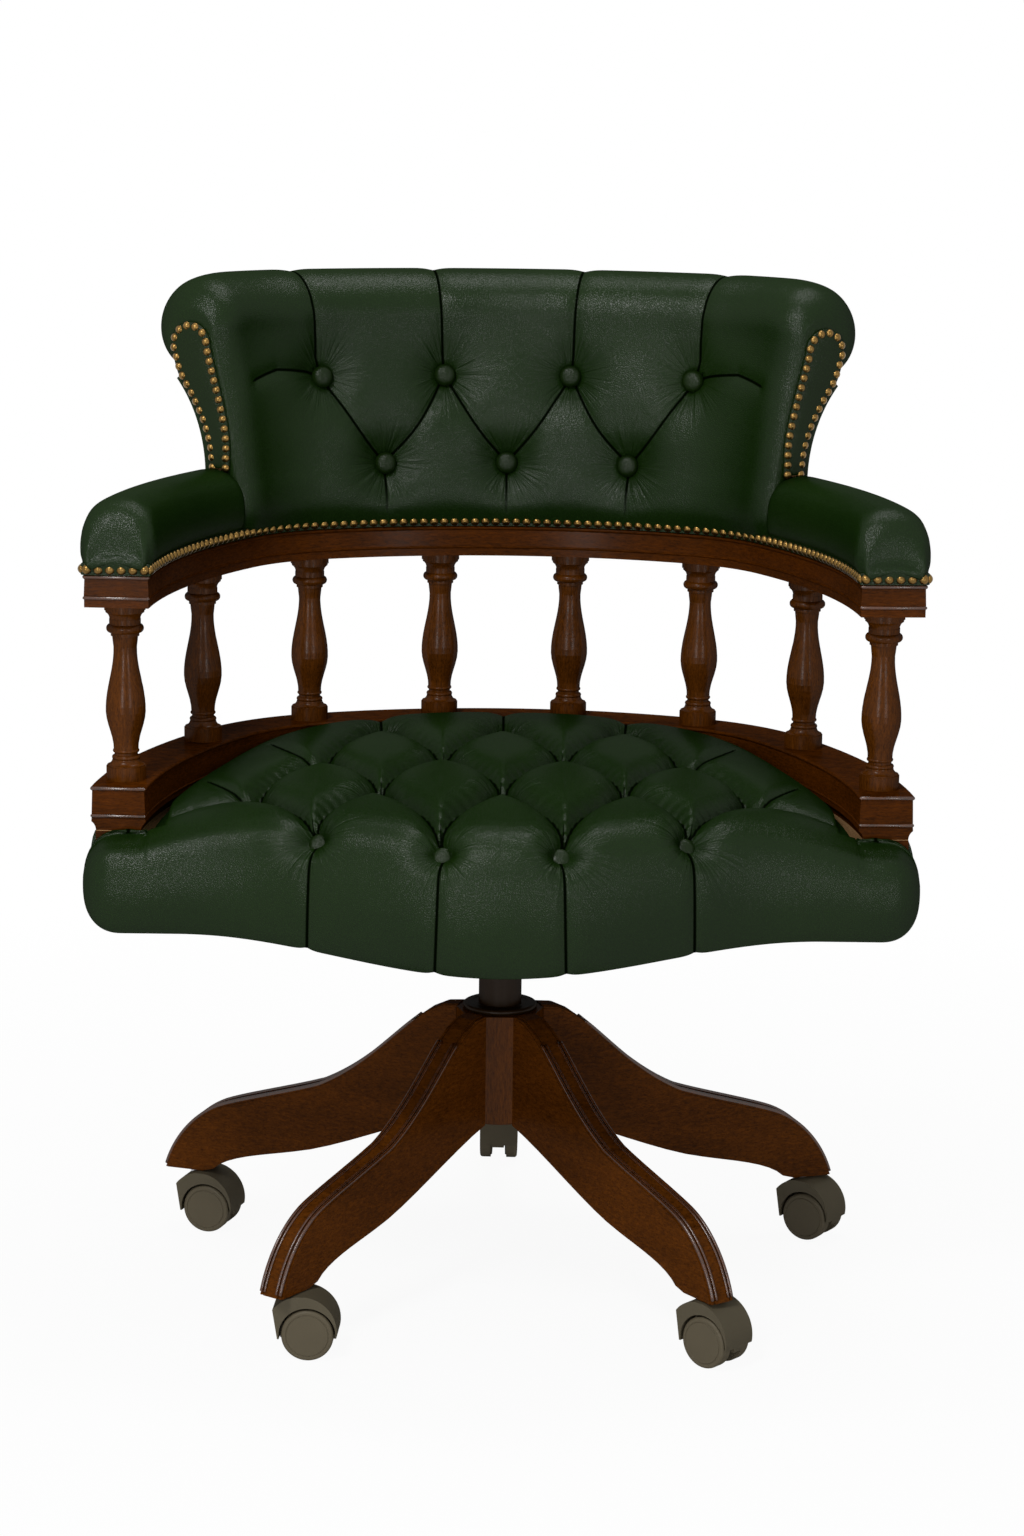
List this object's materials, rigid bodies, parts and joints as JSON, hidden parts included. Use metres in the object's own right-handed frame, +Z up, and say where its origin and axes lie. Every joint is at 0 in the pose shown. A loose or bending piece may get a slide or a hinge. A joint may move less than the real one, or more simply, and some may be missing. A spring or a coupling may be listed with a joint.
{
  "type": "office chair",
  "caption": "Wooden captain's swivel chair with a buttoned leather seat and scroll back, a horseshoe arm rail on turned spindles, a gas lift and a carved base on casters.",
  "frame": {"origin": "on the floor, on the axis of the column", "axes": "+Z is up, -Y is the front that the sitter faces, +X is the side of the height lever"},
  "size_m": [0.7016, 0.6221, 0.877],
  "materials": {
    "mahogany": "stained dark mahogany under a satin lacquer",
    "beech": "plain sawn hardwood",
    "green_leather": "dark green grained hide with a soft sheen",
    "antique_brass": "antiqued domed upholstery nails",
    "bronzed_steel": "dark bronze paint",
    "bright_steel": "zinc-plated steel",
    "black_steel": "satin black powder coat",
    "black_plastic": "moulded black plastic",
    "red_plastic": "moulded red plastic",
    "caster_plastic": "moulded olive-grey nylon",
    "wheel_plastic": "moulded olive-grey nylon, slightly worn",
    "dust_cloth": "thin black cambric"
  },
  "bodies": {
    "base": {"hub_post": "mahogany", "hub_collar": "bronzed_steel", "leg_front_left": "mahogany", "leg_front_right": "mahogany", "leg_side_left": "mahogany", "leg_side_right": "mahogany", "leg_rear": "mahogany", "leg_dowels": "beech", "caster_sockets": "bright_steel", "stand_tube": "bronzed_steel", "column_bush": "black_plastic", "thrust_bearing": "bright_steel", "piston_rod": "bright_steel"},
    "caster_front_left": {"caster_front_left_housing": "caster_plastic", "caster_front_left_pins": "bright_steel"},
    "wheel_front_left_near": {"caster_front_left_wheel_near": "wheel_plastic"},
    "wheel_front_left_far": {"caster_front_left_wheel_far": "wheel_plastic"},
    "caster_front_right": {"caster_front_right_housing": "caster_plastic", "caster_front_right_pins": "bright_steel"},
    "wheel_front_right_near": {"caster_front_right_wheel_near": "wheel_plastic"},
    "wheel_front_right_far": {"caster_front_right_wheel_far": "wheel_plastic"},
    "caster_side_left": {"caster_side_left_housing": "caster_plastic", "caster_side_left_pins": "bright_steel"},
    "wheel_side_left_near": {"caster_side_left_wheel_near": "wheel_plastic"},
    "wheel_side_left_far": {"caster_side_left_wheel_far": "wheel_plastic"},
    "caster_side_right": {"caster_side_right_housing": "caster_plastic", "caster_side_right_pins": "bright_steel"},
    "wheel_side_right_near": {"caster_side_right_wheel_near": "wheel_plastic"},
    "wheel_side_right_far": {"caster_side_right_wheel_far": "wheel_plastic"},
    "caster_rear": {"caster_rear_housing": "caster_plastic", "caster_rear_pins": "bright_steel"},
    "wheel_rear_near": {"caster_rear_wheel_near": "wheel_plastic"},
    "wheel_rear_far": {"caster_rear_wheel_far": "wheel_plastic"},
    "lift": {"gas_cylinder": "black_steel"},
    "valve": {"release_button": "red_plastic"},
    "swivel": {"tilt_housing": "black_steel", "tilt_pin": "bright_steel", "tilt_springs": "bright_steel"},
    "knob": {"tension_knob": "black_plastic"},
    "lever": {"height_lever": "black_steel"},
    "seat": {"seat_plate": "black_steel", "plate_bolts": "bright_steel", "seat_frame": "beech", "dust_cover": "dust_cloth", "seat_border": "green_leather", "seat_cushion": "green_leather", "seat_buttons": "green_leather", "seat_hoop": "mahogany", "spindles_back": "mahogany", "spindles_corner": "mahogany", "spindles_side": "mahogany", "spindles_front": "mahogany", "arm_rail": "mahogany", "arm_pad_left": "green_leather", "arm_pad_right": "green_leather", "back_frame": "beech", "back_cushion": "green_leather", "back_cover": "green_leather", "back_facings": "green_leather", "back_buttons": "green_leather"}
  },
  "joints": [
    {"name": "caster_front_left_swivel", "type": "hinge", "parent": "base", "child": "caster_front_left", "pos_m": [-0.17222, -0.23704, 0.06], "axis": [0, 0, 1], "continuous": true},
    {"name": "wheel_front_left_near_roll", "type": "hinge", "parent": "caster_front_left", "child": "wheel_front_left_near", "pos_m": [-0.15664, -0.23786, 0.022], "axis": [0.0523, 0.9986, 0], "continuous": true},
    {"name": "wheel_front_left_far_roll", "type": "hinge", "parent": "caster_front_left", "child": "wheel_front_left_far", "pos_m": [-0.15664, -0.23786, 0.022], "axis": [0.0523, 0.9986, 0], "continuous": true},
    {"name": "caster_front_right_swivel", "type": "hinge", "parent": "base", "child": "caster_front_right", "pos_m": [0.17222, -0.23704, 0.06], "axis": [0, 0, 1], "continuous": true},
    {"name": "wheel_front_right_near_roll", "type": "hinge", "parent": "caster_front_right", "child": "wheel_front_right_near", "pos_m": [0.18381, -0.24748, 0.022], "axis": [0.6691, 0.7431, 0], "continuous": true},
    {"name": "wheel_front_right_far_roll", "type": "hinge", "parent": "caster_front_right", "child": "wheel_front_right_far", "pos_m": [0.18381, -0.24748, 0.022], "axis": [0.6691, 0.7431, 0], "continuous": true},
    {"name": "caster_side_left_swivel", "type": "hinge", "parent": "base", "child": "caster_side_left", "pos_m": [-0.27866, 0.09054, 0.06], "axis": [0, 0, 1], "continuous": true},
    {"name": "wheel_side_left_near_roll", "type": "hinge", "parent": "caster_side_left", "child": "wheel_side_left_near", "pos_m": [-0.26382, 0.08572, 0.022], "axis": [0.309, 0.9511, 0], "continuous": true},
    {"name": "wheel_side_left_far_roll", "type": "hinge", "parent": "caster_side_left", "child": "wheel_side_left_far", "pos_m": [-0.26382, 0.08572, 0.022], "axis": [0.309, 0.9511, 0], "continuous": true},
    {"name": "caster_side_right_swivel", "type": "hinge", "parent": "base", "child": "caster_side_right", "pos_m": [0.27866, 0.09054, 0.06], "axis": [0, 0, 1], "continuous": true},
    {"name": "wheel_side_right_near_roll", "type": "hinge", "parent": "caster_side_right", "child": "wheel_side_right_near", "pos_m": [0.29159, 0.08182, 0.022], "axis": [0.5592, 0.829, 0], "continuous": true},
    {"name": "wheel_side_right_far_roll", "type": "hinge", "parent": "caster_side_right", "child": "wheel_side_right_far", "pos_m": [0.29159, 0.08182, 0.022], "axis": [0.5592, 0.829, 0], "continuous": true},
    {"name": "caster_rear_swivel", "type": "hinge", "parent": "base", "child": "caster_rear", "pos_m": [0, 0.293, 0.06], "axis": [0, 0, 1], "continuous": true},
    {"name": "wheel_rear_near_roll", "type": "hinge", "parent": "caster_rear", "child": "wheel_rear_near", "pos_m": [0.00054, 0.30859, 0.022], "axis": [-0.9994, 0.0349, 0], "continuous": true},
    {"name": "wheel_rear_far_roll", "type": "hinge", "parent": "caster_rear", "child": "wheel_rear_far", "pos_m": [0.00054, 0.30859, 0.022], "axis": [-0.9994, 0.0349, 0], "continuous": true},
    {"name": "seat_height", "type": "slide", "parent": "base", "child": "lift", "axis": [0, 0, 1], "range_m": [0, 0.075]},
    {"name": "seat_swivel", "type": "hinge", "parent": "lift", "child": "swivel", "pos_m": [0, 0, 0.32], "axis": [0, 0, 1], "continuous": true},
    {"name": "valve_press", "type": "slide", "parent": "lift", "child": "valve", "axis": [0, 0, -1], "range_m": [0, 0.0019]},
    {"name": "height_lever_lift", "type": "hinge", "parent": "swivel", "child": "lever", "pos_m": [0.03, 0, 0.33945], "axis": [0, -1, 0], "range_deg": [0, 3.5], "stiffness_Nm_per_rad": 3, "springref_deg": -2.86},
    {"name": "tension_knob_turn", "type": "hinge", "parent": "swivel", "child": "knob", "pos_m": [0, -0.095, 0.315], "axis": [0, 0, 1], "range_deg": [-180, 180]},
    {"name": "seat_tilt", "type": "hinge", "parent": "swivel", "child": "seat", "pos_m": [0, -0.038, 0.342], "axis": [-1, 0, 0], "range_deg": [0, 12], "stiffness_Nm_per_rad": 120, "springref_deg": -17.19}
  ],
  "couplings": [
    {"joint": "valve_press", "follows": "height_lever_lift", "m_per_rad": 0.03}
  ]
}
